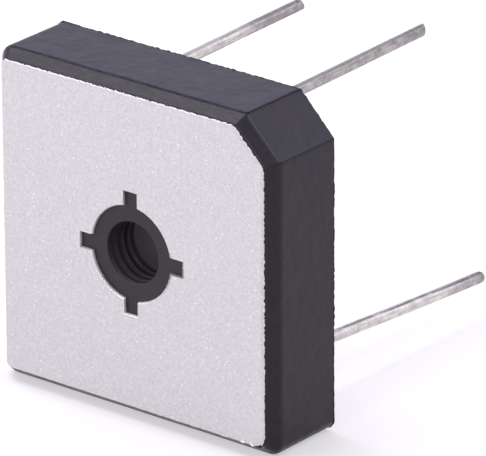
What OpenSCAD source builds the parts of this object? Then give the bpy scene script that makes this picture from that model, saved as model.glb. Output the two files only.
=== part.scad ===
// Square bridge rectifier with wire leads, a metal base plate and a centre mounting hole.
//
// It stands on its lower side. X runs across the base plate, Y runs from the base plate's
// outer face towards the leads, and Z is up. The origin is where the axis of the mounting
// hole meets the plane of the base plate's outer face.
//
// An insulating sheet lies on the back of the base plate. Two copper strips on it carry two
// dice each, two more strips join the tops of the dice in pairs, and a lead with a flat head
// is soldered to each strip. The case is one moulding, cast round all of this. It also fills
// the plate's opening, and the mounting hole runs through it there.

/* [Case] */
// Width and height of the square case
case_w = 28.5; // [28:0.1:29]
// Depth from the base plate's outer face to the back of the case
case_d = 8.15; // [7.8:0.05:11]
// Leg of the corner cut that marks the positive lead
corner_cut = 3.4; // [2.8:0.1:4]
// Radius of the other three corners
corner_r = 1.1; // [0.9:0.1:1.3]
// Depth from the base plate's outer face to the back of the front bevel
bevel_d = 1.3; // [0.8:0.1:2]

/* [Base plate] */
// Width and height of the plate
plate_w = 26.8; // [26.4:0.1:27]
// Thickness of the plate
plate_t = 1.6; // [1.5:0.1:2]
// How far the plate lies off the case's centre, to the right and up
plate_shift = 0.16; // [0:0.02:0.2]
// How far the plate stands out of the moulding round it
plate_proud = 0.15; // [0.1:0.01:0.2]
// Leg of the plate's cut corner
plate_cut = 3; // [2.5:0.1:3.2]
// Radius of the plate's other corners
plate_r = 0.5; // [0.3:0.1:0.8]

/* [Mounting hole] */
// Diameter of the hole for the screw
bore_d = 5.25; // [5:0.05:5.5]
// Diameter of the plate's opening round the hole
opening_d = 8.1; // [7.6:0.1:8.4]
// Distance across two opposite lugs of the opening
lug_span = 10.5; // [10:0.1:11]
// Width of a lug
lug_w = 1.4; // [1.2:0.1:1.6]
// How far the moulded boss lies behind the plate's outer face
boss_recess = 0.3; // [0.2:0.05:0.5]
// Number of fine rings near the mouth of the hole
ring_count = 3; // [1:1:3]
// Distance from one ring to the next
ring_pitch = 0.8; // [0.6:0.1:0.8]

/* [Leads] */
// Diameter of the wire
lead_d = 1; // [0.9:0.05:1.1]
// Distance between the leads at three corners of their square
lead_pitch = 18.1; // [17.6:0.1:18.6]
// Distance from the upper left lead to the positive lead
positive_offset = 11.4; // [10.9:0.1:11.9]
// Free length of a lead behind the case
lead_free = 24.85; // [20:0.05:32]
// Extra length of the positive lead
positive_extra = 1.95; // [0:0.05:3]
// Extra length of the lower right lead
lower_right_extra = 1.25; // [0:0.05:3]
// How far the leads lie to the right of the case's centre
lead_shift_x = 0.2; // [-0.2:0.05:0.2]
// How far the leads lie above the case's centre
lead_shift_z = -0.15; // [-0.2:0.05:0.2]

/* [Diodes] */
// Side of a silicon die
die_w = 4.4; // [3.6:0.1:4.4]
// Thickness of a silicon die
die_t = 0.3; // [0.25:0.01:0.4]
// Thickness of the copper strips under the dice
lower_t = 0.6; // [0.5:0.05:0.8]
// Thickness of the copper strips over the dice
upper_t = 0.5; // [0.4:0.05:0.6]
// Thickness of a solder layer
solder_t = 0.1; // [0.08:0.01:0.15]
// Thickness of the insulating sheet
sheet_t = 0.25; // [0.2:0.01:0.3]

/* [Hidden] */

$fn = 64;
over = 1;                                // how far a cutter runs past what it cuts
far = 40;                                // longer than any solid of the case

moulding = "#2b2b30";
aluminium = "#d3d1d6";
tinned = "#b4b2ac";
copper = "#b9734a";
solder_grey = "#9d9fa3";
silicon = "#4d5361";
sheet_white = "#d9d4cf";

half_w = case_w / 2;
lip_w = 0.06;                            // flat edge of the moulding beside the plate
lip_t = 0.1;                             // depth of that edge before the bevel starts
plate_lo = plate_shift - plate_w / 2;
plate_hi = plate_shift + plate_w / 2;

ring_w = 0.36;                           // width of a fine ring, cut as a V
ring_depth = 0.14;
ring_first = boss_recess + 0.65;
stop_ring = ring_first + ring_count * ring_pitch;
stop_depth = 0.24;                       // the last ring is deeper, and the wall beyond is plain

// Depths of the layers, counted from the base plate's outer face
lower_y = plate_t + sheet_t;
under_y = lower_y + lower_t;
die_y = under_y + solder_t;
over_y = die_y + die_t;
upper_y = over_y + solder_t;
head_y = upper_y + upper_t;
solder_w = die_w - 0.2;
sheet_gap = 1.1;                         // from the plate's edge to the sheet's
sheet_hole_d = lug_span + 1.5;

// Leads: where each one stands on its strip
left_x = lead_shift_x - lead_pitch / 2;
right_x = left_x + lead_pitch;
positive_x = left_x + positive_offset;
top_z = lead_shift_z + lead_pitch / 2;
bottom_z = top_z - lead_pitch;
head_d = 2.2;
head_t = 0.4;
fillet_d = 3.4;                          // solder round a lead's head, at the strip
fillet_top_d = 1.5;
fillet_h = 0.9;
bend_y = case_d + 1.4;                   // the wire bends here
bend_over = 0.01;                        // how far the ball in the bend covers the wire
up = 0;
down = 180;
dome_r = 0.6;                            // radius of a rounded wire end
crop_ridge = -0.05;                      // cutters leave a ridge, this far off the wire's axis
crop_slopes = [1, 0.15];                 // fall of the cropped end on either side of the ridge
crop_turn = 237;                         // how far the ridge is turned round the wire

// Centre of each die, across and up. 1 and 2 lie on the positive strip, 3 and 4 on the negative.
dice = [[-5.1, 8.85], [7.4, 8.7], [-4.75, -8.9], [4.4, -8.9]];

// Where each lead stands: across, up, and the depth of its strip's surface
positive_stand = [positive_x, top_z, under_y];
negative_stand = [left_x, bottom_z, under_y];
ac_left_stand = [left_x, top_z, head_y];
ac_right_stand = [right_x, bottom_z, head_y];
stands = [positive_stand, negative_stand, ac_left_stand, ac_right_stand];

// Each copper strip is made of rectangles: left, bottom, right and top edges
positive_blanks = [[-8.3, 6.4, 10, 11.3]];
negative_blanks = [[-11.3, -11.4, 7.6, -6.5]];
ac_left_blanks = [[-11.3, 6.3, -2.6, 11.3], [-11.3, -6.6, -7, 6.3],
    [-11.3, -6.6, -2.3, -4.6], [-7.1, -11.3, -2.3, -6.6]];
ac_right_blanks = [[4.9, 6.3, 9.9, 11.1], [7, -6.3, 11.4, 6.3], [2, -11.3, 11.4, -6.3]];

// Stands a flat outline up: its second axis turns to Z, and it is drawn out from y0 to y1
module along_y(y0, y1) {
    translate([0, y1, 0])
        rotate([90, 0, 0])
            linear_extrude(y1 - y0)
                children();
}

// Stands a solid of revolution up: its axis turns to +Y
module axis_to_y() {
    rotate([-90, 0, 0])
        children();
}

// Square outline from lo to hi both ways, its upper right corner cut off and the others round
module outline(lo, hi, cut, r) {
    side = hi - lo;
    difference() {
        union() {
            translate([lo + r, lo])
                square([side - 2 * r, side]);
            translate([lo, lo + r])
                square([side, side - 2 * r]);
            for (corner = [[lo + r, lo + r], [hi - r, lo + r], [lo + r, hi - r]])
                translate(corner)
                    circle(r);
            translate([hi - cut, hi - cut])
                square(cut);
        }
        polygon([[hi - cut, hi], [hi, hi - cut], [hi + cut, hi + cut]]);
    }
}

module plate_outline() {
    outline(plate_lo, plate_hi, plate_cut, plate_r);
}

// Round opening with four lugs
module opening_outline() {
    circle(d = opening_d);
    square([lug_span, lug_w], center = true);
    square([lug_w, lug_span], center = true);
}

// Outside of the case: a plain block, and in front of it the bevel down to the plate's edge
module case_block() {
    along_y(bevel_d, case_d)
        outline(-half_w, half_w, corner_cut, corner_r);
    hull() {
        along_y(plate_proud, plate_proud + lip_t)
            outline(plate_lo - lip_w, plate_hi + lip_w, plate_cut, plate_r + lip_w);
        along_y(bevel_d - lip_t, bevel_d)
            outline(-half_w, half_w, corner_cut, corner_r);
    }
}

// Ring cut into the wall of the hole, V-shaped, round y
module bore_ring(y, depth) {
    r = bore_d / 2;
    inside = r - ring_depth;
    translate([0, y, 0])
        axis_to_y()
            rotate_extrude()
                polygon([[inside, -ring_w / 2], [r, -ring_w / 2], [r + depth, 0],
                    [r, ring_w / 2], [inside, ring_w / 2]]);
}

module bore() {
    translate([0, -over, 0])
        axis_to_y()
            cylinder(h = case_d + 2 * over, d = bore_d);
    for (i = [0 : ring_count - 1])
        bore_ring(ring_first + i * ring_pitch, ring_depth);
    bore_ring(stop_ring, stop_depth);
}

// The case is a plain block less the room of every piece that is cast into it
module case() {
    color(moulding)
        difference() {
            case_block();
            difference() {
                along_y(-over, plate_t)
                    plate_outline();
                along_y(boss_recess, plate_t + over)
                    opening_outline();
            }
            insulating_sheet();
            strip_positive();
            strip_negative();
            strip_ac_left();
            strip_ac_right();
            for (i = [1 : len(dice)]) {
                die(i);
                solder_under(i);
                solder_over(i);
            }
            for (s = stands) {
                fillet(s);
                wire_room(s);
            }
            bore();
        }
}

module base_plate() {
    color(aluminium)
        along_y(0, plate_t)
            difference() {
                plate_outline();
                opening_outline();
            }
}

module insulating_sheet() {
    color(sheet_white)
        along_y(plate_t, plate_t + sheet_t)
            difference() {
                outline(plate_lo + sheet_gap, plate_hi - sheet_gap, plate_cut, plate_r);
                circle(d = sheet_hole_d);
            }
}

// Flat strip of copper, cut to the given rectangles
module strip(blanks, y, t) {
    color(copper)
        along_y(y, y + t)
            for (b = blanks)
                translate([b[0], b[1]])
                    square([b[2] - b[0], b[3] - b[1]]);
}

module strip_positive() {
    strip(positive_blanks, lower_y, lower_t);
}

module strip_negative() {
    strip(negative_blanks, lower_y, lower_t);
}

module strip_ac_left() {
    strip(ac_left_blanks, upper_y, upper_t);
}

module strip_ac_right() {
    strip(ac_right_blanks, upper_y, upper_t);
}

// Square wafer of side w on the centre of die i
module wafer(i, w, y, t) {
    translate([dice[i - 1][0], 0, dice[i - 1][1]])
        along_y(y, y + t)
            square(w, center = true);
}

module die(i) {
    color(silicon)
        wafer(i, die_w, die_y, die_t);
}

module solder_under(i) {
    color(solder_grey)
        wafer(i, solder_w, under_y, solder_t);
}

module solder_over(i) {
    color(solder_grey)
        wafer(i, solder_w, over_y, solder_t);
}

// Flat head and the straight wire on it, from the strip's surface at y0 to y1
module headed_wire(y0, y1) {
    translate([0, y0, 0])
        axis_to_y() {
            cylinder(h = head_t, d = head_d);
            cylinder(h = y1 - y0, d = lead_d);
        }
}

// Everything below a roof with its ridge at height len
module roof(len) {
    rotate([90, 0, 0])
        linear_extrude(2 * lead_d, center = true)
            polygon([[-lead_d, 0], [-lead_d, len - crop_slopes[0] * (lead_d + crop_ridge)],
                [crop_ridge, len], [lead_d, len - crop_slopes[1] * (lead_d - crop_ridge)],
                [lead_d, 0]]);
}

// End of a wire of length len, from the origin along +Z, rounded or cropped
module wire_end(len, rounded) {
    intersection() {
        cylinder(h = len, d = lead_d);
        if (rounded)
            translate([0, 0, len - dome_r])
                union() {
                    sphere(dome_r);
                    translate([0, 0, -far])
                        cylinder(h = far, r = dome_r);
                }
        else
            rotate([0, 0, crop_turn])
                roof(len);
    }
}

// Lead on its stand. Behind the case it bends through lean degrees, towards the direction
// that toward gives as an angle from straight up.
module lead(stand, lean, toward, extra = 0, rounded = true) {
    color(tinned)
        translate([stand[0], 0, stand[1]])
            rotate([0, toward, 0]) {
                headed_wire(stand[2], bend_y);
                translate([0, bend_y, 0]) {
                    sphere(d = lead_d + 2 * bend_over);
                    rotate([lean - 90, 0, 0])
                        wire_end((lead_free + case_d + extra - bend_y) / cos(lean), rounded);
                }
            }
}

module lead_positive() {
    lead(positive_stand, 0.9, up, positive_extra, false);
}

module lead_negative() {
    lead(negative_stand, 0.8, down);
}

module lead_ac_left() {
    lead(ac_left_stand, 1.3, up);
}

module lead_ac_right() {
    lead(ac_right_stand, 3.8, down, lower_right_extra);
}

// Room for the wire of a lead in the moulding, out through the back face
module wire_room(stand) {
    translate([stand[0], stand[2], stand[1]])
        axis_to_y()
            cylinder(h = case_d + over - stand[2], d = lead_d);
}

// Cone of solder round the head of a lead, with the lead still in it
module fillet(stand) {
    translate([stand[0], stand[2], stand[1]])
        axis_to_y()
            cylinder(h = fillet_h, d1 = fillet_d, d2 = fillet_top_d);
}

module lead_solder(stand) {
    color(solder_grey)
        difference() {
            fillet(stand);
            translate([stand[0], 0, stand[1]])
                headed_wire(stand[2], case_d);
        }
}

base_plate();
case();
insulating_sheet();
strip_positive();
strip_negative();
strip_ac_left();
strip_ac_right();
die(1);  // die_1
die(2);  // die_2
die(3);  // die_3
die(4);  // die_4
solder_under(1);  // solder_under_die_1
solder_under(2);  // solder_under_die_2
solder_under(3);  // solder_under_die_3
solder_under(4);  // solder_under_die_4
solder_over(1);  // solder_over_die_1
solder_over(2);  // solder_over_die_2
solder_over(3);  // solder_over_die_3
solder_over(4);  // solder_over_die_4
lead_positive();
lead_negative();
lead_ac_left();
lead_ac_right();
lead_solder(positive_stand);  // solder_lead_positive
lead_solder(negative_stand);  // solder_lead_negative
lead_solder(ac_left_stand);  // solder_lead_ac_left
lead_solder(ac_right_stand);  // solder_lead_ac_right
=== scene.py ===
# %% [markdown]
# # A square bridge rectifier, dressed for the camera
#
# The object is a flat black block of moulded epoxy, 28.5 mm square. A bare metal plate is let
# into its front, a screw hole runs through the middle, and four tinned wires leave the back.
# The exact solids come in as a fixed frame. This lesson adds what a solid modeller leaves out:
# soft edges, flash, burrs, wire that isn't quite straight, and the finish of each material.

# %% Load the frame
import math

import bpy
import numpy as np
from mathutils import Matrix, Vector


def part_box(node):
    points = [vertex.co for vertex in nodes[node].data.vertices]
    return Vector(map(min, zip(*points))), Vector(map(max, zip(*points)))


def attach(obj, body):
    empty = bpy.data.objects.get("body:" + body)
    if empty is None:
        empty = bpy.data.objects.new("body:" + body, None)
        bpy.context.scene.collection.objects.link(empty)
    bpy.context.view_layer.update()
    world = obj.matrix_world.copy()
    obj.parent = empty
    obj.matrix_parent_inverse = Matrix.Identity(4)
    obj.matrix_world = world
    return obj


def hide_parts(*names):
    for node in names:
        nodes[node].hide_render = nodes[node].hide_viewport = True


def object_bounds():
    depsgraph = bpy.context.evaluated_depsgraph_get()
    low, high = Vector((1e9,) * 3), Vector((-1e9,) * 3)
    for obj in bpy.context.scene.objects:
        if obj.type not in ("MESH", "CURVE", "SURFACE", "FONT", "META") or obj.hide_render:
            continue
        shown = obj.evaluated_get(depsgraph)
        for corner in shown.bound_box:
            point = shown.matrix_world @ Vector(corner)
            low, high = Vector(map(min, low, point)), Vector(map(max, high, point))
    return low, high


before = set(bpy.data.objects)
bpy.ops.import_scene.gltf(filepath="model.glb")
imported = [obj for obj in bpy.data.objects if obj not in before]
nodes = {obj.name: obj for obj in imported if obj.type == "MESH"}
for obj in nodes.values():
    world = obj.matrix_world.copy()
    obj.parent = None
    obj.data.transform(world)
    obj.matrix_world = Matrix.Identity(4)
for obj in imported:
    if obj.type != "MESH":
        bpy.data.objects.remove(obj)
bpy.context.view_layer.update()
BODY = "root"  # nothing on this object moves, so every piece rides on one body

# %% [markdown]
# Blender counts in metres, and everything on this object is easier to say in millimetres. The
# sizes below are read off the frame where the frame knows them. The rest are the values that
# the solids were drawn with.

# %% Sizes in millimetres
MM = 0.001


def node_box(name):
    """Lowest and highest corner of a solid, in millimetres."""
    low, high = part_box(name)
    return np.array(low) / MM, np.array(high) / MM


case_low, case_high = node_box("case")
plate_low, plate_high = node_box("base_plate")

CASE_HALF = case_high[0]
CASE_BACK = case_high[1]
CASE_FRONT = case_low[1]
CASE_CUT = 3.4
CASE_ROUND = 1.1
BEVEL_BACK = 1.3
PLATE_BACK = plate_high[1]
PLATE_CUT = 3.0
PLATE_ROUND = 0.5
LAND = 0.06
OPENING_R = 4.05
LUG_REACH = 5.25
LUG_HALF = 0.7
BOSS_Y = 0.3
BORE_R = 2.625
print("case half width", CASE_HALF, "back at", CASE_BACK, "plate", plate_low, plate_high)

# %% [markdown]
# The camera comes early, so that each piece can be looked at as soon as it exists. A long lens
# from half a metre away keeps the square nearly free of perspective. Its aim is set by three
# directions: right, up and forward.

# %% Camera
AZIMUTH, ELEVATION, ROLL = np.radians([38.82, 22.32, -0.25])
DISTANCE = 540.0  # all in millimetres
ASIDE, ABOVE = 8.952, 2.083  # how far the camera is moved along its own right and up
LENS_MM, SENSOR_MM = 503.11111, 36.0


def camera_axes(azimuth, elevation, roll):
    """Right, up and forward directions of a camera that looks at the origin. The azimuth turns
    it round +Z from the front, the elevation lifts it, and the roll tips it over its own axis."""
    towards = np.array([
        np.sin(azimuth) * np.cos(elevation),
        -np.cos(azimuth) * np.cos(elevation),
        np.sin(elevation),
    ])
    right = np.cross(-towards, [0, 0, 1])
    right /= np.linalg.norm(right)
    up = np.cross(right, -towards)
    return (
        np.cos(roll) * right + np.sin(roll) * up,
        np.cos(roll) * up - np.sin(roll) * right,
        -towards,
    )


right, up, forward = camera_axes(AZIMUTH, ELEVATION, ROLL)
camera_data = bpy.data.cameras.new("camera")
camera_data.sensor_width = SENSOR_MM
camera_data.lens = LENS_MM
camera_data.clip_start = 0.01
camera = bpy.data.objects.new("camera", camera_data)
bpy.context.scene.collection.objects.link(camera)
place = Matrix(np.column_stack([right, up, -forward]).tolist()).to_4x4()
place.translation = (ASIDE * right + ABOVE * up - DISTANCE * forward) * MM
camera.matrix_world = place
bpy.context.scene.camera = camera
print("lens", round(camera_data.lens, 1), "mm, camera at", [round(v, 3) for v in place.translation])

# %% [markdown]
# Materials are built from nodes in code. One helper adds a node and fills or links its inputs,
# and another gives the object's own coordinates in millimetres, so that every grain size below
# is a real size.

# %% Helpers for materials


def add_node(tree, kind, inputs=None, **settings):
    """Adds a node. Each input gets a plain value, or a link where the value is a socket."""
    new = tree.nodes.new(kind)
    for key, value in settings.items():
        setattr(new, key, value)
    for key, value in (inputs or {}).items():
        if isinstance(value, bpy.types.NodeSocket):
            tree.links.new(value, new.inputs[key])
        else:
            new.inputs[key].default_value = value
    return new


def start_material(name):
    """An empty material with a shader and an output. Returns material, tree, shader and the
    place on the object in millimetres."""
    material = bpy.data.materials.new(name)
    material.use_nodes = True
    tree = material.node_tree
    tree.nodes.clear()
    shader = add_node(tree, "ShaderNodeBsdfPrincipled")
    add_node(tree, "ShaderNodeOutputMaterial", {"Surface": shader.outputs["BSDF"]})
    coordinates = add_node(tree, "ShaderNodeTexCoord")
    place_mm = add_node(tree, "ShaderNodeMapping", {
        "Vector": coordinates.outputs["Object"],
        "Scale": (1 / MM, 1 / MM, 1 / MM),
    })
    return material, tree, shader, place_mm.outputs["Vector"]


def grain(tree, place_mm, size, detail=3.0, roughness=0.55, stretch=None, offset=None):
    """Soft noise, from 0 to 1, whose lumps are about size millimetres across."""
    vector = place_mm
    if stretch or offset:
        vector = add_node(tree, "ShaderNodeMapping", {
            "Vector": place_mm,
            "Scale": stretch or (1, 1, 1),
            "Location": offset or (0, 0, 0),
        }).outputs["Vector"]
    return add_node(tree, "ShaderNodeTexNoise", {
        "Vector": vector, "Scale": 1 / size, "Detail": detail, "Roughness": roughness,
    }).outputs["Fac"]


def remap(tree, value, low, high, to_low=0.0, to_high=1.0):
    """Stretches low..high to to_low..to_high and holds it there."""
    return add_node(tree, "ShaderNodeMapRange", {
        "Value": value, "From Min": low, "From Max": high, "To Min": to_low, "To Max": to_high,
    }).outputs["Result"]


def blend_colours(tree, factor, first, second):
    """Mixes two colours: the first where the factor is 0, the second where it is 1."""
    mix = add_node(tree, "ShaderNodeMix", data_type="RGBA")
    colours = [s for s in mix.inputs if s.type == "RGBA"]
    factors = [s for s in mix.inputs if s.name == "Factor" and s.type == "VALUE"]
    for socket, value in ((factors[0], factor), (colours[0], first), (colours[1], second)):
        if isinstance(value, bpy.types.NodeSocket):
            tree.links.new(value, socket)
        else:
            socket.default_value = value if socket.type == "VALUE" else (*value, 1.0)
    return [s for s in mix.outputs if s.type == "RGBA"][0]


def math_node(tree, operation, first, second):
    """One sum on two values."""
    new = add_node(tree, "ShaderNodeMath", operation=operation)
    for socket, value in zip(new.inputs, (first, second)):
        if isinstance(value, bpy.types.NodeSocket):
            tree.links.new(value, socket)
        else:
            socket.default_value = value
    return new.outputs["Value"]


def times(tree, first, second):
    """The product of two values."""
    return math_node(tree, "MULTIPLY", first, second)


def mesh_value(tree, name):
    """The value that the mesh keeps under a name."""
    return add_node(tree, "ShaderNodeAttribute", attribute_name=name).outputs["Fac"]


def bump(tree, shader, layers):
    """Feeds the shader's normal from height layers, each a (height, depth in millimetres)."""
    normal = None
    for height, depth in layers:
        inputs = {"Height": height, "Distance": depth * MM, "Strength": 1.0}
        if normal is not None:
            inputs["Normal"] = normal
        normal = add_node(tree, "ShaderNodeBump", inputs).outputs["Normal"]
    tree.links.new(normal, shader.inputs["Normal"])


# %% [markdown]
# The block is epoxy moulding compound: black resin packed with fine silica. It has a low sheen,
# is slightly mottled, and takes a bluish or brownish cast from one spot to the next where mould
# release and flow marks lie on it. Noise at three sizes gives the cast, the mottle and the grain.
# The front bevel was dragged along the mould as the block was pushed out, so it is streaked and
# speckled. The pale streaks are strongest on the bevel's upward-facing top, where they are partly
# painted light. The core pin left a duller, browner skin on the crests in the screw hole and a
# little of it on the boss, and a smooth, matt grey one behind the rings. On the rings, the crests
# and the lower side of the hole are painted lighter: partly that skin and partly a painted
# highlight where they catch the light. The mesh will carry three attributes that say where these
# are: one for the scuffs, one for the core's skin with its painted highlight, and one for the matt
# skin.

# %% Moulding compound


def moulding_material():
    """Black epoxy: a base colour that wanders between cool and warm, long pale streaks and specks
    where scuffed is high, strongest on the bevel's upward-facing top and there partly painted
    light, a duller skin where cored is high, brownish and dusty, painted lighter on the ring crests
    and the lower side of the hole as a painted highlight, or, where matt is high too, plain grey,
    a roughness that follows the mottle and rises with matt, and a shallow grain over wide soft
    waves."""
    material, tree, shader, place_mm = start_material("moulding_compound")
    cast = remap(tree, grain(tree, place_mm, 3.2, 3.0, 0.55), 0.40, 0.62)
    mottle = remap(tree, grain(tree, place_mm, 0.9, 3.0, 0.55, offset=(7, 3, 5)), 0.30, 0.72)
    colour = blend_colours(tree, cast, (0.0066, 0.0048, 0.0128), (0.0122, 0.0070, 0.0120))
    colour = blend_colours(tree, remap(tree, mottle, 0.35, 1.0, 0.0, 0.75), colour,
                           (0.0200, 0.0150, 0.0205))
    # Pale drag streaks on the bevel, strongest on its upward-facing top: partly drag marks and
    # partly painted light.
    scuffed = mesh_value(tree, "scuffed")
    drag = grain(tree, place_mm, 0.22, 4.0, 0.65, stretch=(0.16, 1.0, 1.0), offset=(0, 4, 4))
    streaks_and_top_light = times(tree, remap(tree, drag, 0.44, 0.66), scuffed)
    colour = blend_colours(tree, times(tree, streaks_and_top_light, 0.75), colour,
                           (0.047, 0.039, 0.043))
    # The core's skin: dusty and brownish, and painted lighter on the ring crests and the hole's
    # lower side as a painted highlight.
    cored = mesh_value(tree, "cored")
    dust_and_highlight = remap(tree, grain(tree, place_mm, 0.24, 3.0, 0.65, offset=(2, 6, 3)), 0.38, 0.66)
    dust_and_highlight = times(tree, dust_and_highlight, remap(tree, cored, 0.45, 0.95))
    skin_colour_with_highlight = blend_colours(tree, dust_and_highlight, (0.0850, 0.0775, 0.0850), (0.2100, 0.1720, 0.1640))
    matt = mesh_value(tree, "matt")
    skin_colour_with_highlight = blend_colours(tree, remap(tree, matt, 0.40, 0.75), skin_colour_with_highlight, (0.1700, 0.1600, 0.1780))
    colour = blend_colours(tree, cored, colour, skin_colour_with_highlight)
    specks = add_node(tree, "ShaderNodeTexVoronoi", {"Vector": place_mm, "Scale": 4.2})
    speck = remap(tree, specks.outputs["Distance"], 0.12, 0.04)
    rare = remap(tree, grain(tree, place_mm, 0.9, 1.0, offset=(1, 9, 2)), 0.58, 0.66)
    colour = blend_colours(tree, times(tree, speck, rare), colour,
                           (0.12, 0.11, 0.105))
    tree.links.new(colour, shader.inputs["Base Color"])
    shader.inputs["Specular IOR Level"].default_value = 0.31
    gloss = remap(tree, mottle, 0.0, 1.0, 0.27, 0.36)
    gloss = math_node(tree, "ADD", gloss, times(tree, streaks_and_top_light, 0.16))
    gloss = math_node(tree, "ADD", gloss, times(tree, matt, 0.55))
    tree.links.new(gloss, shader.inputs["Roughness"])
    bump(tree, shader, [
        (grain(tree, place_mm, 1.5, 1.0), 0.045),
        (grain(tree, place_mm, 0.16, 3.0, 0.6), 0.005),
        (streaks_and_top_light, 0.006),
    ])
    return material


moulding = moulding_material()

# %% [markdown]
# The plate is aluminium with a fine blasted grain. Blasting leaves small dents side by side, so
# the tone changes softly every third of a millimetre, up as often as down, and a rare grain is
# painted nearly white as a painted glint. The wall of the opening is torn and rough, and painted
# white, most at the lower left where it faces up: partly a rough finish and partly a painted
# highlight. The raised rims are painted paler: partly polished metal and partly a painted
# highlight where the burr catches the light. Handling left a dark stain at the right. The mesh will
# carry attributes that say where: one for the torn wall, one for the rims and one for the stain.

# %% Plate metal


def plate_material():
    """Pale aluminium: noise at three sizes for the clouds, the dents and the grain inside a dent,
    a few nearly white cells as painted glints, pale crumbs on the raised rims, partly polish and
    partly a painted highlight, a stain where soiled is high, and a white, rough finish on the
    opening's wall: metal that finely scatters light nearly as paper does, so it is less of a mirror
    there, and partly a painted highlight, strongest at the lower left."""
    material, tree, shader, place_mm = start_material("plate_aluminium")
    cloud = remap(tree, grain(tree, place_mm, 3.8, 3.0, 0.6), 0.3, 0.7)
    dents = grain(tree, place_mm, 0.34, 2.0, 0.70, offset=(2, 2, 8))
    fine = grain(tree, place_mm, 0.17, 2.0, 0.70, offset=(5, 1, 3))
    colour = blend_colours(tree, cloud, (0.662, 0.659, 0.648), (0.690, 0.686, 0.668))
    colour = blend_colours(tree, remap(tree, dents, 0.30, 0.70, 0.85, 0.0), colour,
                           (0.545, 0.532, 0.548))
    patches = grain(tree, place_mm, 0.95, 2.0, 0.6, offset=(6, 3, 9))
    colour = blend_colours(tree, remap(tree, patches, 0.34, 0.66, 0.24, 0.0), colour,
                           (0.560, 0.550, 0.560))
    colour = blend_colours(tree, remap(tree, fine, 0.50, 0.74, 0.0, 0.55), colour,
                           (0.860, 0.850, 0.855))
    # Painted glints: a few cells of the grain are painted nearly white.
    cells = add_node(tree, "ShaderNodeTexVoronoi", {"Vector": place_mm, "Scale": 5.0})
    lucky = add_node(tree, "ShaderNodeSeparateColor", {"Color": cells.outputs["Color"]})
    painted_glint = times(tree, remap(tree, lucky.outputs["Red"], 0.975, 0.985),
                        remap(tree, cells.outputs["Distance"], 0.5, 0.1))
    colour = blend_colours(tree, times(tree, painted_glint, 0.8), colour,
                           (0.98, 0.98, 0.98))
    # The raised rims are painted paler: partly polish and partly a painted highlight where the burr
    # catches the light.
    rim_polish_and_highlight = mesh_value(tree, "burnished")
    crumbs = remap(tree, grain(tree, place_mm, 0.10, 2.0, 0.7, offset=(3, 7, 7)), 0.36, 0.56)
    colour = blend_colours(tree, times(tree, rim_polish_and_highlight, crumbs), colour,
                           (0.76, 0.74, 0.71))
    soiled = mesh_value(tree, "soiled")
    stain = remap(tree, grain(tree, place_mm, 0.18, 3.0, 0.7, offset=(9, 2, 4)), 0.36, 0.52)
    colour = blend_colours(tree, times(tree, soiled, stain), colour,
                           (0.150, 0.115, 0.100))
    # The torn wall is painted near white: partly its rough finish and partly a painted highlight.
    torn = mesh_value(tree, "torn")
    tooth = remap(tree, grain(tree, place_mm, 0.14, 3.0, 0.7, offset=(8, 8, 1)), 0.38, 0.62)
    colour = blend_colours(tree, torn, colour, blend_colours(
        tree, tooth, (0.72, 0.70, 0.69), (1.0, 0.99, 0.97)))
    tree.links.new(colour, shader.inputs["Base Color"])
    tree.links.new(remap(tree, torn, 0.0, 1.0, 1.0, 0.10), shader.inputs["Metallic"])
    rough = math_node(tree, "SUBTRACT", remap(tree, dents, 0.3, 0.7, 0.44, 0.56),
                      times(tree, rim_polish_and_highlight, 0.08))
    tree.links.new(math_node(tree, "ADD", rough, times(tree, torn, 0.2)),
                   shader.inputs["Roughness"])
    bump(tree, shader, [
        (dents, 0.010),
        (fine, 0.004),
        (times(tree, tooth, torn), 0.02),
    ])
    return material


plate_metal = plate_material()

# %% [markdown]
# The wires are tinned copper. Tin goes dull and blotchy, and drawing leaves fine lines along the
# wire. Each wire was also pinched in a feeder, which left one dark line that wanders slowly round
# it. The wires will carry a UV map in millimetres, round the wire and along it, so that lines
# follow the metal, and attributes called line_at, which says where round the wire the dark line
# lies, tarnish, which says how dull the tin is, and handled, which is high near the tip.

# %% Tinned wire


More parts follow.
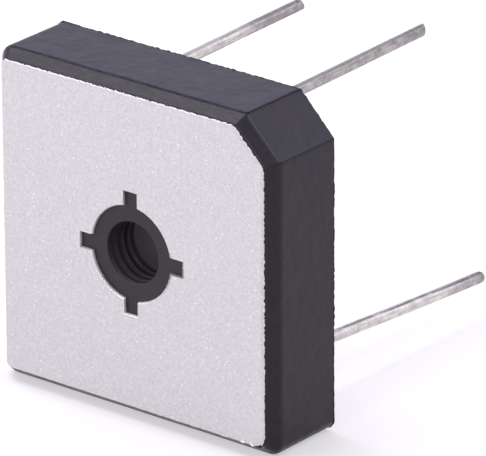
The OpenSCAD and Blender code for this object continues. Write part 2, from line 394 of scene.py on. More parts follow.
def wire_material():
    """Dull tin: noise drawn out along the wire for the drawing lines, a dark feed line where the
    way round equals line_at, blotches and the level of tarnish for the oxide, and dark scuffs and
    pale flecks near the tip, where handled is high."""
    material, tree, shader, place_mm = start_material("tinned_wire")
    along = add_node(tree, "ShaderNodeUVMap", uv_map="along").outputs["UV"]
    parts = add_node(tree, "ShaderNodeSeparateXYZ", {"Vector": along})
    lines = grain(tree, along, 0.11, 3.0, 0.6, stretch=(1.0, 0.035, 1.0))
    blotches = remap(tree, grain(tree, place_mm, 0.8, 4.0, 0.6), 0.38, 0.66)
    tarnish = mesh_value(tree, "tarnish")
    dullness = math_node(tree, "ADD", tarnish, remap(tree, blotches, 0.0, 1.0, -0.18, 0.22))
    colour = blend_colours(tree, dullness, (0.790, 0.768, 0.712), (0.345, 0.330, 0.318))
    colour = blend_colours(tree, remap(tree, lines, 0.47, 0.66, 0.0, 0.55), colour,
                           (0.320, 0.298, 0.265))
    line_at = mesh_value(tree, "line_at")
    off_line = math_node(tree, "SUBTRACT", parts.outputs["X"], line_at)
    away = math_node(tree, "ABSOLUTE", off_line, 0.0)
    gaps = grain(tree, along, 0.9, 3.0, 0.6, stretch=(0.3, 0.5, 1.0), offset=(3, 2, 0))
    broken = remap(tree, gaps, 0.36, 0.52)
    feed_line = times(tree, remap(tree, away, 0.13, 0.03), broken)
    colour = blend_colours(tree, times(tree, feed_line, 0.80), colour,
                           (0.190, 0.172, 0.165))
    handled = mesh_value(tree, "handled")
    scuffs = remap(tree, grain(tree, place_mm, 0.55, 3.0, 0.6, offset=(4, 1, 6)), 0.48, 0.64)
    scuffed = times(tree, scuffs, handled)
    colour = blend_colours(tree, times(tree, scuffed, 0.65), colour,
                           (0.180, 0.168, 0.160))
    flecks = remap(tree, grain(tree, place_mm, 0.50, 2.0, 0.6, offset=(7, 5, 2)), 0.60, 0.70)
    colour = blend_colours(tree, times(tree, flecks, handled), colour,
                           (0.70, 0.69, 0.65))
    tree.links.new(colour, shader.inputs["Base Color"])
    shader.inputs["Metallic"].default_value = 1.0
    tree.links.new(remap(tree, blotches, 0.0, 1.0, 0.44, 0.58), shader.inputs["Roughness"])
    bump(tree, shader, [(lines, 0.006), (blotches, 0.008), (feed_line, -0.012)])
    return material


wire_metal = wire_material()

# %% [markdown]
# The diodes, copper strips, solder and insulating sheet are sealed in the block and never show.
# They still get the finish that the real ones have, for whoever takes the model apart: rolled
# copper, dull solder, polished silicon, and a matt fired sheet.

# %% Materials of the sealed pieces


def sealed_material(name, pale, dark, metallic, low, high, lump, stretch=None, depth=0.003):
    """A simple finish for a hidden piece: two tones mixed by noise of the given lump size, and
    a roughness that runs from low to high with it."""
    material, tree, shader, place_mm = start_material(name)
    cloud = remap(tree, grain(tree, place_mm, lump, 4.0, 0.6, stretch=stretch), 0.3, 0.7)
    tree.links.new(blend_colours(tree, cloud, pale, dark), shader.inputs["Base Color"])
    tree.links.new(remap(tree, cloud, 0.0, 1.0, low, high), shader.inputs["Roughness"])
    shader.inputs["Metallic"].default_value = metallic
    bump(tree, shader, [(cloud, depth)])
    return material


copper = sealed_material("rolled_copper", (0.80, 0.42, 0.26), (0.62, 0.28, 0.16), 1.0, 0.22, 0.38,
                         0.30, stretch=(0.06, 1.0, 1.0))
solder = sealed_material("dull_solder", (0.52, 0.53, 0.55), (0.38, 0.39, 0.41), 1.0, 0.34, 0.55,
                         0.5)
silicon = sealed_material("silicon", (0.17, 0.18, 0.21), (0.10, 0.11, 0.14), 0.6, 0.12, 0.2, 1.6,
                          depth=0.0005)
sheet = sealed_material("insulating_sheet", (0.78, 0.76, 0.72), (0.68, 0.66, 0.62), 0.0, 0.6, 0.75,
                        0.25)

FINISHES = {
    "case": moulding, "base_plate": plate_metal, "insulating_sheet": sheet,
    "strip": copper, "die": silicon, "solder": solder, "lead": wire_metal,
}
for name, solid in nodes.items():
    family = next(key for key in FINISHES if name.startswith(key))
    solid.data.materials.clear()
    solid.data.materials.append(FINISHES[family])
print("finished", len(nodes), "solids with", len(set(FINISHES.values())), "materials")

# %% [markdown]
# Both the block and the plate are rings round the screw hole. Seen from the hole's axis, each is
# a section that changes with the angle: square outside, round or lugged inside. So each is made
# as one closed surface. At every angle a section is drawn as a polygon with its corners eased,
# and the sections are carried round the axis. That gives real soft edges, which a sharp solid
# lacks, and lets an edge wander from one angle to the next.

# %% Outlines as distance from the axis


def square_radius(angle, low, high, cut, rounding):
    """Distance from the axis to a square outline in direction angle. It is the nearest of the
    four sides and the cut corner. In a rounded corner it is where the ray leaves the corner's
    circle: the ray's reach to the circle's centre plus the half chord."""
    x, z = np.cos(angle), np.sin(angle)
    with np.errstate(divide="ignore"):
        side_x = np.where(x > 0, high / x, low / x)
        side_z = np.where(z > 0, high / z, low / z)
        slant = np.where(x + z > 0.1, (2 * high - cut) / np.maximum(x + z, 0.1), 1e3)
    reach = np.minimum(np.abs(side_x), np.abs(side_z))
    for right_side, top_side in ((False, False), (True, False), (False, True)):
        centre_x = high - rounding if right_side else low + rounding
        centre_z = high - rounding if top_side else low + rounding
        beyond_x = (reach * x > centre_x) if right_side else (reach * x < centre_x)
        beyond_z = (reach * z > centre_z) if top_side else (reach * z < centre_z)
        towards = x * centre_x + z * centre_z
        chord = towards ** 2 - centre_x ** 2 - centre_z ** 2 + rounding ** 2
        arc = towards + np.sqrt(np.maximum(chord, 0))
        reach = np.where(beyond_x & beyond_z, arc, reach)
    ease = 0.10  # the two ends of the cut corner are eased over about this many millimetres
    soft = 0.5 * (reach + slant - np.sqrt((reach - slant) ** 2 + ease ** 2))
    return np.where(slant < 999, soft, reach)


def opening_radius(angle, grow=0.0):
    """Distance to the round opening with four lugs. Off a lug it is the circle. On a lug it is
    the lug's end or its side, whichever is nearer."""
    off = np.abs((angle + math.pi / 4) % (math.pi / 2) - math.pi / 4)
    end = (LUG_REACH + grow) / np.cos(off)  # grow moves the whole outline out, or in if negative
    side = (LUG_HALF + grow) / np.maximum(np.sin(off), 1e-6)
    return np.maximum(OPENING_R + grow, np.minimum(end, side))


def ring_angles():
    """Angles at which the sections stand: every half degree over the top and the right, whose
    edges are the most ragged, every degree elsewhere, closer at the three rounded corners and at
    the cut corner's ends, and exactly where a lug turns."""
    even = np.radians(np.concatenate([np.arange(-50, 140, 0.5), np.arange(140, 310, 1.0)]))
    corners = [np.radians(c + np.linspace(-5, 5, 41)) for c in (135, 225, 315)]
    slant = [np.radians(c + np.linspace(-2.2, 2.2, 23)) for c in (37.2, 52.8)]
    outer = math.asin(LUG_HALF / LUG_REACH)
    inner = math.asin(LUG_HALF / OPENING_R)
    turns = np.array([outer - 0.004, outer, outer + 0.004, (outer + inner) / 2,
                      inner - 0.004, inner, inner + 0.004])
    lugs = [q * math.pi / 2 + s * turns for q in range(4) for s in (-1, 1)]
    every = np.concatenate([even, *corners, *slant, *lugs]) % (2 * math.pi)
    return np.unique(np.round(every, 5))


angles = ring_angles()
print("sections round the axis:", len(angles))

# %% [markdown]
# Edges wander because moulds leak and shears tear. A sum of sine waves with whole numbers of
# turns meets itself after one round, so it has no seam.

# %% Wander and eased sections


def wander(angle, seed, slowest, fastest, size):
    """A wavy value round the ring: random whole-turn sine waves between slowest and fastest,
    each as strong as the square root of its share, scaled so that it mostly stays within size."""
    dice = np.random.default_rng(seed)
    turns = dice.integers(slowest, fastest, 24)
    phase = dice.uniform(0, 2 * math.pi, 24)
    weight = dice.uniform(0.4, 1.0, 24)
    waves = np.sin(np.outer(angle, turns) + phase) * weight
    return size * waves.sum(1) / np.sqrt((weight ** 2).sum())


def eased_loop(reach, depth, ease, between):
    """A closed section with eased corners, for all angles at once. Rows are angles and columns
    are the section's corners. Each corner is replaced by a quadratic curve: it starts and ends
    ease millimetres from the corner along its two legs, and the corner pulls it. Between two
    curves the leg is straight. Where between is 0 or more, it gets a point close to each end to
    keep the shading flat, and that number of even points between them. A wide curve gets six
    points, a tight one four, and the tightest three."""
    count = reach.shape[1]
    corner = np.stack([reach, depth], -1)
    following = np.roll(corner, -1, axis=1)
    leg = following - corner
    length = np.linalg.norm(leg, axis=-1, keepdims=True)
    unit = leg / np.maximum(length, 1e-9)
    cut_out = np.minimum(np.array(ease)[None, :, None], 0.42 * length)
    cut_in = np.minimum(np.array(ease)[None, :, None], 0.42 * np.roll(length, 1, axis=1))
    start = corner - np.roll(unit, 1, axis=1) * cut_in
    end = corner + unit * cut_out
    columns = []
    for k in range(count):
        curve_points = 6 if ease[k] > 0.065 else 4 if ease[k] > 0.025 else 3
        t = np.linspace(0, 1, curve_points)[None, :, None]
        curve = ((1 - t) ** 2 * start[:, k, None] + 2 * t * (1 - t) * corner[:, k, None]
                 + t ** 2 * end[:, k, None])
        columns.append(curve)
        if between[k] < 0:
            continue
        after = start[:, (k + 1) % count]
        span = after - end[:, k]
        reach_of_leg = np.linalg.norm(span, axis=-1, keepdims=True)
        near = np.minimum(0.04 / np.maximum(reach_of_leg, 1e-9), 0.3)
        even = [near * 0 + s for s in np.linspace(0, 1, between[k] + 2)[1:-1]]
        steps = [near, *even, 1 - near]
        columns.append(np.stack([end[:, k] + span * s for s in steps], axis=1))
    return np.concatenate(columns, axis=1)


def section_from(stations):
    """The eased section for a list of stations: each is the distance from the axis and the depth
    at every angle, the ease, and the number of even points on the leg that follows."""
    reach, depth, ease, between = zip(*stations)
    return eased_loop(np.stack(reach, 1), np.stack(depth, 1), ease, between)


def wrap_faces(rows, columns, closed_rows=True):
    """Quads of a grid whose points are counted along the columns first. Each line of columns
    joins its end to its start, and closed rows join the last to the first."""
    i = np.arange(rows if closed_rows else rows - 1)[:, None]
    j = np.arange(columns)[None, :]
    a = i * columns + j
    b = i * columns + (j + 1) % columns
    c = (i + 1) % rows * columns + (j + 1) % columns
    d = (i + 1) % rows * columns + j
    return np.stack([a, b, c, d], -1).reshape(-1, 4)


def add_piece(name, points, faces, material, replaces=()):
    """Puts points, in millimetres, and a list of faces into a new smooth-shaded object at the
    origin, with its material, the body it rides on and the solids it stands for."""
    mesh = bpy.data.meshes.new(name)
    mesh.from_pydata((np.asarray(points).reshape(-1, 3) * MM).tolist(), [], faces)
    mesh.polygons.foreach_set("use_smooth", np.ones(len(mesh.polygons), bool))
    mesh.materials.append(material)
    mesh.update()
    piece = bpy.data.objects.new(name, mesh)
    bpy.context.scene.collection.objects.link(piece)
    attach(piece, BODY)
    if replaces:
        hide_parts(*replaces)
    print(name, len(mesh.vertices), "points", len(mesh.polygons), "faces")
    return piece


def keep_values(mesh, **weights):
    """Keeps on the mesh, under each name, a value for every point."""
    for title, values in weights.items():
        layer = mesh.attributes.new(title, "FLOAT", "POINT")
        layer.data.foreach_set("value", np.asarray(values, np.float32).ravel())


def add_ring(name, section, material, slot, replaces=(), **weights):
    """Carries the sections round the axis: a point at distance r and depth y stands at
    x = r cos(angle), z = r sin(angle). Each named weight is a value for every point of the
    section, kept on the mesh under its name."""
    r, y = section[..., 0], section[..., 1]
    points = np.stack([r * np.cos(angles)[:, None], y, r * np.sin(angles)[:, None]], -1)
    faces = wrap_faces(*section.shape[:2]).tolist()
    keep_values(add_piece(name, points, faces, material, replaces).data, **weights)


def near(value, target, reach):
    """1 where a value is at its target, falling evenly to 0 at reach away."""
    return np.clip(1 - np.abs(value - target) / reach, 0, 1)


# %% [markdown]
# The block's section starts in the pocket behind the plate, comes forward along the plate's edge,
# crosses the narrow land, goes down the bevel, along the side and round the back edge, where the
# two halves of the mould met and left a thin wavy fin. Then it crosses the back face and comes
# forward through the screw hole, past the fine rings that the mould's core pin left, to the boss
# face and back into the pocket.

# %% The moulded block


def flat(value):
    """The same value at every angle."""
    return np.full(len(angles), float(value))


def bell(degrees, width):
    """1 in the given direction, falling off as a bell over width degrees on either side."""
    return np.exp(-((angles - math.radians(degrees)) / math.radians(width)) ** 2)


plate_edge = square_radius(angles, plate_low[0], plate_high[0], PLATE_CUT, PLATE_ROUND)
land_edge = square_radius(angles, plate_low[0] - LAND, plate_high[0] + LAND, PLATE_CUT,
                          PLATE_ROUND + LAND)
case_edge = square_radius(angles, -CASE_HALF, CASE_HALF, CASE_CUT, CASE_ROUND)
opening_edge = opening_radius(angles)

fin = 0.035 + wander(angles, 4, 3, 40, 0.022) + wander(angles, 14, 60, 200, 0.030)
corner_bump, lower_bump = bell(134.6, 4.6), bell(316.5, 2.6)
fin = np.clip(fin + 0.06 * corner_bump + 0.07 * lower_bump, 0.0, 0.14)
fin_y = CASE_BACK - 0.07 + wander(angles, 15, 20, 120, 0.018)
side_wander = wander(angles, 9, 2, 14, 0.012)


def towards(degrees, narrow=1.0):
    """1 in the given direction round the axis, 0 on the far side, with a bell between them."""
    return (0.5 + 0.5 * np.cos(angles - math.radians(degrees))) ** narrow


# Resin that crept up the plate's proud edge, and a thin film that went on over its face
creep_share = 0.30 + 0.70 * towards(0, 2) + 0.45 * towards(180, 5) + 0.55 * towards(95, 6)
creep = np.clip(creep_share * (0.08 + wander(angles, 16, 60, 350, 0.08)), 0.0, 0.15)
film = np.clip(towards(12, 3) * wander(angles, 17, 120, 355, 0.022) - 0.008, 0.0, 0.05)
film = film + bell(315.2, 1.3) * np.clip(0.26 + wander(angles, 18, 80, 350, 0.09), 0, 1)
on_face = np.clip(film / 0.02, 0, 1)
film_y = (1 - on_face) * (CASE_FRONT - creep) + on_face * -0.010
crest_y = (1 - on_face) * (CASE_FRONT - creep) + on_face * -0.030

# A small fillet of resin at the foot of the opening's wall, least at the left lug
foot = np.clip(0.11 * (1 - 0.75 * towards(180, 30)) + wander(angles, 41, 20, 160, 0.025),
               0.02, 0.18)

RING_FIRST, RING_PITCH, RING_HALF, RING_DEPTH = 0.95, 0.8, 0.24, 0.15
STOP_Y, STOP_DEPTH = 3.35, 0.24
stations = [
    # distance from the axis, depth, ease, even points on the leg that follows
    (plate_edge + 0.004, flat(PLATE_BACK), 0.02, -1),
    (plate_edge + 0.004, flat(CASE_FRONT + 0.05), 0.02, -1),
    (plate_edge + 0.004 - film, film_y, 0.02, -1),
    (plate_edge + 0.010, crest_y, 0.02, -1),
    (land_edge, flat(CASE_FRONT), 0.04, -1),
    (land_edge + 0.02, flat(CASE_FRONT + 0.09), 0.04, 2),
    (case_edge + side_wander * 0.5, flat(BEVEL_BACK), 0.30, 4),
    (case_edge + side_wander, flat(CASE_BACK - 0.16), 0.05, -1),
    (case_edge + fin, fin_y, 0.03, -1),
    (case_edge - 0.05, flat(CASE_BACK), 0.04, 3),
    (flat(BORE_R), flat(CASE_BACK), 0.12, 2),
]
for groove_y, groove_depth in [(STOP_Y, STOP_DEPTH)] + [
        (RING_FIRST + RING_PITCH * k, RING_DEPTH) for k in (2, 1, 0)]:
    stations += [
        (flat(BORE_R), flat(groove_y + RING_HALF), 0.025, -1),
        (flat(BORE_R + groove_depth), flat(groove_y), 0.025, -1),
        (flat(BORE_R), flat(groove_y - RING_HALF), 0.025, 0),
    ]
stations += [
    (flat(BORE_R), flat(BOSS_Y), 0.10, 2),
    (opening_radius(angles, -0.004 - 0.8 * foot), flat(BOSS_Y), 0.03, -1),
    (opening_edge - 0.004, BOSS_Y - foot, 0.03, -1),
    (opening_edge - 0.004, flat(PLATE_BACK), 0.02, 1),
]
block_section = section_from(stations)
block_r, block_y = block_section[..., 0], block_section[..., 1]
BEVEL_FRONT = CASE_FRONT + 0.03
on_bevel = ((block_y > BEVEL_FRONT) & (block_y < BEVEL_BACK - 0.05)
            & (block_r > OPENING_R + 2) & (block_r > plate_edge[:, None]))
drag_share_lit_top = np.full(len(angles), 0.12)  # how much the pale drag streaks show, by direction: most on the upward-facing top, partly painted light
for start, end, share in ((53, 136, 1.0), (37, 53, 0.35)):
    drag_share_lit_top[(angles > math.radians(start)) & (angles < math.radians(end))] = share
in_hole = (block_r < BORE_R + 0.4) & (block_y < CASE_BACK - 0.05)
ringed = in_hole & (block_y < STOP_Y + 0.3)
# The ring crests, and most of all those on the lower side of the hole, are painted lighter than the
# grooves: a painted highlight where crests and upward-facing walls catch the light, over the core
# pin's skin.
ring_crest = np.clip(1 - (block_r - BORE_R) / 0.05, 0, 1)
lower_side_light = (0.32 + 0.68 * towards(262, 2.5))[:, None]
on_boss = (block_y < BOSS_Y + 0.01) & (block_r > BORE_R) & (
    block_r < opening_edge[:, None] + 0.01)
cored = np.where(on_boss, 0.30, np.where(ringed, (0.15 + 0.75 * ring_crest) * lower_side_light, in_hole))
matt = np.where(on_boss, 0.15, np.where(ringed, 0.30, in_hole * 0.85))
add_ring("moulded_block", block_section, moulding, "moulding", ["case"],
         scuffed=on_bevel * drag_share_lit_top[:, None], cored=cored, matt=matt)

# %% [markdown]
# The plate was sheared from strip. Its front rim carries a ragged burr that catches the light,
# strongest along the top and broken into dashes down the right, and hardly there below. The
# rim of the opening was pushed up a little where the punch tore it, most at the lower left.
# The section is a plain rectangle with two more corners for each rim, whose heights and widths
# change with the angle.

# %% The plate

rim_share = 0.06 + 0.9 * towards(105, 4.0) * np.clip(0.75 + wander(angles, 24, 8, 60, 0.35), 0, 1.2)
dashes = np.clip(1.6 * wander(angles, 23, 30, 200, 1.0) - 0.9, 0, 1) * towards(352, 4)
rim_share = np.clip(rim_share + 0.9 * dashes, 0, 1.15)
burr = np.clip(rim_share * (0.030 + wander(angles, 21, 90, 355, 0.045)) + 0.08 * dashes, 0.0, 0.11)
edge_tear = (0.20 + 0.80 * rim_share) * wander(angles, 22, 90, 355, 0.055) + 0.09 * dashes
lip_share = 0.15 + 0.95 * towards(238, 3) + 0.55 * towards(345, 10)
lip = np.clip(lip_share * (0.045 + wander(angles, 31, 20, 150, 0.030)), 0.0, 0.10)
lip_tear = lip_share * np.clip(wander(angles, 32, 30, 170, 0.022), -0.02, 0.04)
plate_stations = [
    (opening_edge, flat(PLATE_BACK - 0.002), 0.02, -1),
    (opening_edge, flat(BOSS_Y + 0.25), 0.02, 1),
    (opening_edge, flat(0.17), 0.02, -1),
    (opening_edge + 0.02 - lip_tear, flat(0.06), 0.06, -1),
    (opening_edge + 0.09, -lip, 0.07, -1),
    (opening_edge + 0.23, flat(0.0), 0.06, 7),
    (plate_edge - 0.36, flat(0.0), 0.02, 0),
    (plate_edge - 0.16, flat(0.0), 0.04, -1),
    (plate_edge - 0.05 + edge_tear, -burr, 0.03, -1),
    (plate_edge + 0.02 + edge_tear, flat(0.05), 0.03, -1),
    (plate_edge, flat(0.14), 0.02, -1),
    (plate_edge, flat(PLATE_BACK - 0.002), 0.02, 3),
]
plate_section = section_from(plate_stations)
reach, depth = plate_section[..., 0], plate_section[..., 1]
# The wall's white finish is full at the lower left, where the wall faces up, and a little over half
# elsewhere: partly its rough finish and partly a painted highlight.
torn = ((depth > 0.04) & (depth < BOSS_Y + 0.2)) * near(reach, opening_edge[:, None], 0.12)
torn = torn * np.clip(0.55 + 1.2 * towards(240, 4), 0, 1)[:, None]
# Pale rims along the burr and the pushed-up lip: partly polish and partly a painted highlight.
burnished = (depth < 0.10) * np.maximum(
    near(reach, opening_edge[:, None] + 0.06, 0.13) * lip_share[:, None] * 1.5,
    near(reach, plate_edge[:, None] - 0.02, 0.16) * rim_share[:, None] * 0.9)
soiled = near(reach, opening_edge[:, None] + 0.04, 0.26) * (
    towards(0, 60) + 0.5 * towards(338, 60))[:, None] * 1.5
soiled = soiled + 0.22 * near(reach, plate_edge[:, None] - 0.16, 0.26) * towards(0, 6)[:, None]
add_ring("sheared_plate", plate_section, plate_metal, "plate", ["base_plate"],
         torn=np.clip(torn, 0, 1), burnished=np.clip(burnished, 0, 1),
         soiled=np.clip(soiled, 0, 1))

# %% [markdown]
# A wire is a circle carried along a path, with a radius that changes along it: wide for the
# flattened head that is soldered to its strip, then the wire itself, and at the tip a dome or the
# bevel that cutters leave. The path is straight out of the block and then leans a little.

# %% The wires

LEAN_FROM = CASE_BACK + 1.4
BEND_R = 9.0
WIRE_R = 0.5


def wire_path(x, z, lean, length, wobble_seed):
    """Middle line of a wire, as a function of the way along it. It runs along +Y, turns through
    lean degrees on an arc, and goes on straight. Slow waves of a few hundredths of a millimetre
    keep it from being perfectly straight."""
    lean = math.radians(lean)
    t = np.linspace(0, length, 260)
    turn = np.clip(t / (BEND_R * abs(lean) + 1e-9), 0, 1) * lean
    step = np.diff(t, prepend=0)
    y = np.cumsum(np.cos(turn) * step)
    rise = np.cumsum(np.sin(turn) * step)
    dice = np.random.default_rng(wobble_seed)
    bow = 0.035 * np.sin(t / length * math.pi * dice.uniform(1.2, 2.2) + dice.uniform(0, 6, 1))
    bow -= bow[0]
    return np.stack([x + bow * np.minimum(t / 6, 1), y, z + rise], -1), t


print("wires start to lean at", round(LEAN_FROM, 2), "mm")

# Name, across, up, where the head starts, lean in degrees, depth of the tip, seed, kind of tip;
# the feed line's place at the start and at the tip, in millimetres round the wire from the seam;
# how dull the wire is, how dull near its tip, and the share of the length where that begins
WIRES = [
    ("positive", 2.55, 8.9, 2.45, 0.9, 35.15, 1, "nip", 1.60, 1.64, 0.80, 0.96, 0.85),
    ("negative", -8.85, -9.2, 2.45, -0.8, 33.0, 2, "dome", 1.3, 1.5, 0.30, 0.60, 0.80),
    ("ac_left", -8.85, 8.9, 3.45, 1.36, 33.27, 3, "half", 0.99, 1.04, 0.30, 1.00, 0.71),
    ("ac_right", 9.25, -9.2, 3.45, -3.8, 34.40, 4, "dome", 1.94, 1.88, 0.18, 0.80, 0.80),
]
SIDES = 48
SEAM = math.radians(213)  # the UV map starts at the side of the wire that faces away


def tip_fall(across, over, kind):
    """How far the wire's end lies behind its foremost point, at a place on the end given by
    its distance across and over the middle line. A full dome falls as a circle. A half dome
    is a slanted cut with a dome on its upper side. A nip is a steeper slanted cut."""
    far = np.minimum(np.hypot(across, over) / WIRE_R, 1)
    dome = 0.34 * (1 - np.sqrt(np.clip(1 - far ** 2, 0, 1)))
    edge = 0.03 * np.clip((far - 0.86) / 0.14, 0, 1) ** 2
    if kind == "dome":
        return dome + edge
    if kind == "half":
        upper = np.clip(0.5 + over / WIRE_R, 0, 1)
        return 0.147 + 0.066 * across + 0.145 * over + 0.3 * dome * upper + edge
    return np.maximum(0.20 + 0.61 * across - 0.16 * over, 0.02) + edge


def wire_points(x, z, head_y, lean, tip_y, seed, kind):
    """Points of a wire on a grid of path place and angle. The radius is the head's for the
    first 0.4 mm, then the wire's. At the tip, rings of shrinking radius are set back by the
    fall of the tip at each of their points."""
    lean_len = (tip_y - LEAN_FROM) / math.cos(math.radians(lean))
    leaning, t = wire_path(x, z, lean, lean_len, seed)
    leaning[:, 1] += LEAN_FROM
    root_y = np.array([head_y, head_y, head_y + 0.4, head_y + 0.4, head_y + 0.42])
    root_r = np.array([0.0, 1.1, 1.1, WIRE_R, WIRE_R])
    straight_y = np.linspace(head_y + 0.6, LEAN_FROM - 0.05, 30)
    root = np.stack([np.full(35, x), np.concatenate([root_y, straight_y]), np.full(35, z)], -1)
    radius = np.concatenate([root_r, np.full(30, WIRE_R)])
    tip_r = WIRE_R * np.array([1.0, 1.0, 0.985, 0.94, 0.86, 0.74, 0.58, 0.40, 0.20, 0.0])
    keep = t < lean_len - 0.75
    ends = np.repeat(leaning[-1:], 10, axis=0)
    path = np.concatenate([root, leaning[keep], ends])
    radius = np.concatenate([radius, np.full(keep.sum(), WIRE_R), tip_r])
    direction = np.gradient(path[:, [1, 2]], axis=0)
    length = np.maximum(np.linalg.norm(direction, axis=1, keepdims=True), 1e-9)
    direction = np.where(length > 1e-6, direction / length, [1.0, 0.0])
    tip_way = (leaning[-1] - leaning[-2])[[1, 2]]
    direction[-11:] = tip_way / np.linalg.norm(tip_way)
    direction[:6] = [1.0, 0.0]
    round_it = SEAM + np.linspace(0, 2 * math.pi, SIDES, endpoint=False)
    across = np.array([1.0, 0, 0])
    over = np.stack([np.zeros(len(path)), -direction[:, 1], direction[:, 0]], -1)
    ring = (np.cos(round_it)[None, :, None] * across
            + np.sin(round_it)[None, :, None] * over[:, None, :])
    points = path[:, None, :] + radius[:, None, None] * ring
    tip_radius = radius[-10:, None]
    fall = tip_fall(tip_radius * np.cos(round_it), tip_radius * np.sin(round_it), kind)
    fall[0] = fall[1] + 0.10
    points[-10:] -= fall[..., None] * np.array([0, direction[-1, 0], direction[-1, 1]])
    travel = np.concatenate([[0], np.cumsum(np.linalg.norm(np.diff(path, axis=0), axis=1))])
    return points, travel, round_it


def add_wire(name, x, z, head_y, lean, tip_y, seed, kind, line_from, line_to, dull, dull_tip,
             dull_from):
    """Makes one wire, closes its two poles, and writes its UV map (millimetres round and along)
    and three attributes: handled, which is 0 along the wire and rises to 1 at the tip; line_at,
    the way round of the dark feed line, which drifts from line_from to line_to; and tarnish,
    which goes from dull to dull_tip over a tenth of the length, from dull_from on."""
    points, travel, round_it = wire_points(x, z, head_y, lean, tip_y, seed, kind)
    rows = len(travel)
    inner = points[1:-1].reshape(-1, 3)
    poles = np.stack([points[0, 0], points[-1, 0]])
    grid = wrap_faces(rows - 2, SIDES, closed_rows=False)
    verts = np.concatenate([inner, poles])
    first, last = len(inner), len(inner) + 1
    j = np.arange(SIDES)
    caps = [[int(first), int(k), int((k + 1) % SIDES)] for k in j]
    base = (rows - 3) * SIDES
    caps += [[int(last), int(base + (k + 1) % SIDES), int(base + k)] for k in j]
    faces = grid[:, ::-1].tolist() + caps
    mesh = add_piece("wire_" + name, verts, faces, wire_metal, ["lead_" + name]).data
    along = np.repeat(travel[1:-1], SIDES)
    around = np.tile((round_it - SEAM) * WIRE_R, rows - 2)
    full_turn = 2 * math.pi * WIRE_R
    uv_point = np.concatenate([np.stack([around, along], -1),
                               [[full_turn / 2, travel[0]], [full_turn / 2, travel[-1]]]])
    corner = np.zeros(len(mesh.loops), np.int32)
    mesh.loops.foreach_get("vertex_index", corner)
    uv = uv_point[corner]
    quads = uv[:4 * len(grid), 0].reshape(-1, 4)
    over_seam = (quads.max(1) - quads.min(1) > full_turn / 2)[:, None] & (quads < full_turn / 4)
    uv[:4 * len(grid), 0] = np.where(over_seam, quads + full_turn, quads).ravel()
    layer = mesh.uv_layers.new(name="along")
    layer.data.foreach_set("uv", uv.ravel())
    tip = np.concatenate([along, [0, travel[-1]]])
    share = tip / travel[-1]
    drift = line_from + (line_to - line_from) * share ** 2 + 0.03 * np.sin(share * 23 + seed)
    rise = np.clip((share - dull_from) / 0.10, 0, 1)
    keep_values(mesh, handled=np.clip((tip - travel[-1] + 5) / 4, 0, 1), line_at=drift,
                tarnish=dull + (dull_tip - dull) * rise)


for spec in WIRES:
    add_wire(*spec)

# %% [markdown]
# The block stands on a pale floor under soft light. The floor is a large plane at the height of
# the block's lowest point. To the camera, and in metal and other glossy surfaces, it glows a
# little, so that it is nearly white and still shows the shadow. Far from the block, where the
# lamps hardly reach, it glows more, so that it meets the white room without a dark band.

# %% Floor

floor_mesh = bpy.data.meshes.new("floor")
REACH = 1.5
FLOOR_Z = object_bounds()[0][2]  # the flash reaches a tenth of a millimetre below the solids
floor_mesh.from_pydata([(x * REACH, y * REACH, FLOOR_Z) for x, y in
                        ((-1, -1), (1, -1), (1, 1), (-1, 1))], [], [(0, 1, 2, 3)])
floor = bpy.data.objects.new("floor", floor_mesh)
bpy.context.scene.collection.objects.link(floor)
floor_material = bpy.data.materials.new("pale_floor")
floor_material.use_nodes = True
tree = floor_material.node_tree
tree.nodes.clear()
paper = add_node(tree, "ShaderNodeBsdfDiffuse", {"Color": (0.625, 0.610, 0.640, 1)})
floor_place = add_node(tree, "ShaderNodeTexCoord").outputs["Object"]
from_block = add_node(tree, "ShaderNodeVectorMath", {0: floor_place}, operation="LENGTH")
glow = add_node(tree, "ShaderNodeEmission", {
    "Color": (1, 0.985, 1, 1),
    "Strength": remap(tree, from_block.outputs["Value"], 0.10, 0.60, 0.49, 0.94)})


def seen_directly(tree):
    """1 for what the camera sees straight on, in a glossy surface or through a clear one."""
    seen = add_node(tree, "ShaderNodeLightPath")
    mirrored = math_node(tree, "MAXIMUM", seen.outputs["Is Glossy Ray"],
                         seen.outputs["Is Transmission Ray"])
    return math_node(tree, "MAXIMUM", seen.outputs["Is Camera Ray"], mirrored)


both = add_node(tree, "ShaderNodeAddShader", {0: paper.outputs[0], 1: glow.outputs[0]})
mixed = add_node(tree, "ShaderNodeMixShader", {
    "Fac": seen_directly(tree), 1: paper.outputs[0], 2: both.outputs[0]})
add_node(tree, "ShaderNodeOutputMaterial", {"Surface": mixed.outputs[0]})
floor_mesh.materials.append(floor_material)

# %% [markdown]
# A studio for a small part is a bright backdrop behind it, a wide soft lamp overhead, another
# lower in front, two small ones behind at the right for the cut corner and its edge, and a room
# that is dim all round. A dark sheen like the moulding's shows where one of these ends and the
# next begins: its eased edges mirror the dim gap between the backdrop's top and the lamp, and so
# look like thin dark lines. So in reflections the world follows the direction. To the camera it
# is plain white, and as light it is even.

# %% Light

world = bpy.data.worlds.new("studio")
world.use_nodes = True
tree = world.node_tree
tree.nodes.clear()
seen = add_node(tree, "ShaderNodeLightPath")
way = add_node(tree, "ShaderNodeSeparateXYZ", {
    "Vector": add_node(tree, "ShaderNodeTexCoord").outputs["Generated"]})
# sine of the height above the horizon, and the brightness there
HEIGHTS_BEHIND = [(0.0, 0.42), (0.06, 0.46), (0.11, 1.00), (0.54, 1.16), (0.61, 0.03),
                  (0.80, 0.03), (0.86, 0.25)]
HEIGHTS_IN_FRONT = [(0.0, 1.00), (0.20, 0.85), (0.45, 0.85), (0.62, 1.10), (0.70, 1.35),
                    (0.90, 1.10)]


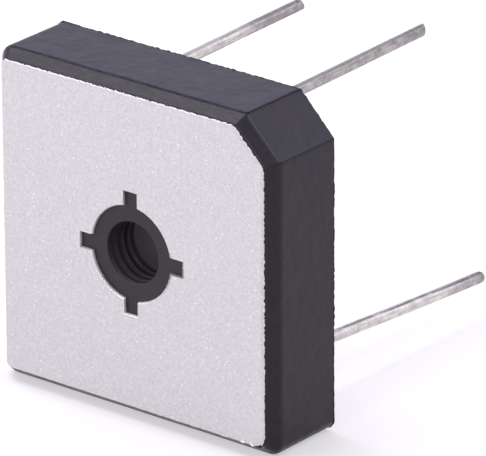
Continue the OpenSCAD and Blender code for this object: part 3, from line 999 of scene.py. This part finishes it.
def level_by_height(heights, colour):
    """The world's colour times its level, read from a list of heights and levels."""
    backdrop = add_node(tree, "ShaderNodeValToRGB", {"Fac": way.outputs["Z"]})
    ramp = backdrop.color_ramp
    while len(ramp.elements) < len(heights):
        ramp.elements.new(0.5)
    for stop, (height, level) in zip(ramp.elements, heights):
        stop.position = height
        stop.color = (*(level * np.array(colour)), 1)
    return backdrop.outputs["Color"]


# behind is 1 where the backdrop is. Its edge leans, so that more of the right is in front.
leaning = math_node(tree, "SUBTRACT", way.outputs["Y"], way.outputs["X"])
behind = remap(tree, leaning, -0.10, 0.30)
around_it = blend_colours(tree, behind, level_by_height(HEIGHTS_IN_FRONT, (0.98, 0.94, 1.04)),
                          level_by_height(HEIGHTS_BEHIND, (0.91, 0.89, 1.12)))
room = add_node(tree, "ShaderNodeBackground", {"Color": (1.0, 0.97, 1.03, 1), "Strength": 0.42})
mirrored = add_node(tree, "ShaderNodeBackground", {"Color": around_it, "Strength": 1.0})
white = add_node(tree, "ShaderNodeBackground", {"Color": (1, 1, 1, 1), "Strength": 1.0})
glossy = math_node(tree, "MAXIMUM", seen.outputs["Is Glossy Ray"],
                   seen.outputs["Is Transmission Ray"])
either = add_node(tree, "ShaderNodeMixShader", {
    "Fac": glossy, 1: room.outputs[0], 2: mirrored.outputs[0]})
either = add_node(tree, "ShaderNodeMixShader", {
    "Fac": seen.outputs["Is Camera Ray"], 1: either.outputs[0], 2: white.outputs[0]})
add_node(tree, "ShaderNodeOutputWorld", {"Surface": either.outputs[0]})
bpy.context.scene.world = world


def add_softbox(name, position, aim, width, height, power, colour):
    """A rectangular lamp at position that faces the point aim, in metres, with power in watts."""
    data = bpy.data.lights.new(name, "AREA")
    data.shape = "RECTANGLE"
    data.size, data.size_y = width, height
    data.energy = power
    data.color = colour
    lamp = bpy.data.objects.new(name, data)
    bpy.context.scene.collection.objects.link(lamp)
    lamp.location = position
    away = np.array(position, float) - np.array(aim, float)
    away /= np.linalg.norm(away)
    side = np.cross([0, 0, 1], away) if abs(away[2]) < 0.99 else np.array([1.0, 0, 0])
    side /= np.linalg.norm(side)
    turn = Matrix(np.column_stack([side, np.cross(away, side), away]).tolist()).to_4x4()
    turn.translation = position
    lamp.matrix_world = turn
    return lamp


add_softbox("above", (-0.33, 0.03, 0.60), (-0.33, 0.03, 0), 0.62, 0.38, 2.7, (0.98, 0.95, 1.05))
add_softbox("front", (-0.60, -0.76, 0.40), (0, 0, 0), 0.66, 0.53, 2.9, (1.0, 0.97, 1.0))
add_softbox("behind", (0.305, 0.445, 0.450), (0, 0, 0), 0.40, 0.36, 0.60, (0.98, 0.95, 1.04))
add_softbox("edge", (0.398, 0.207, 0.538), (0, 0, 0), 0.16, 0.16, 0.36, (0.98, 0.95, 1.04))
bpy.context.scene.view_settings.view_transform = "Standard"
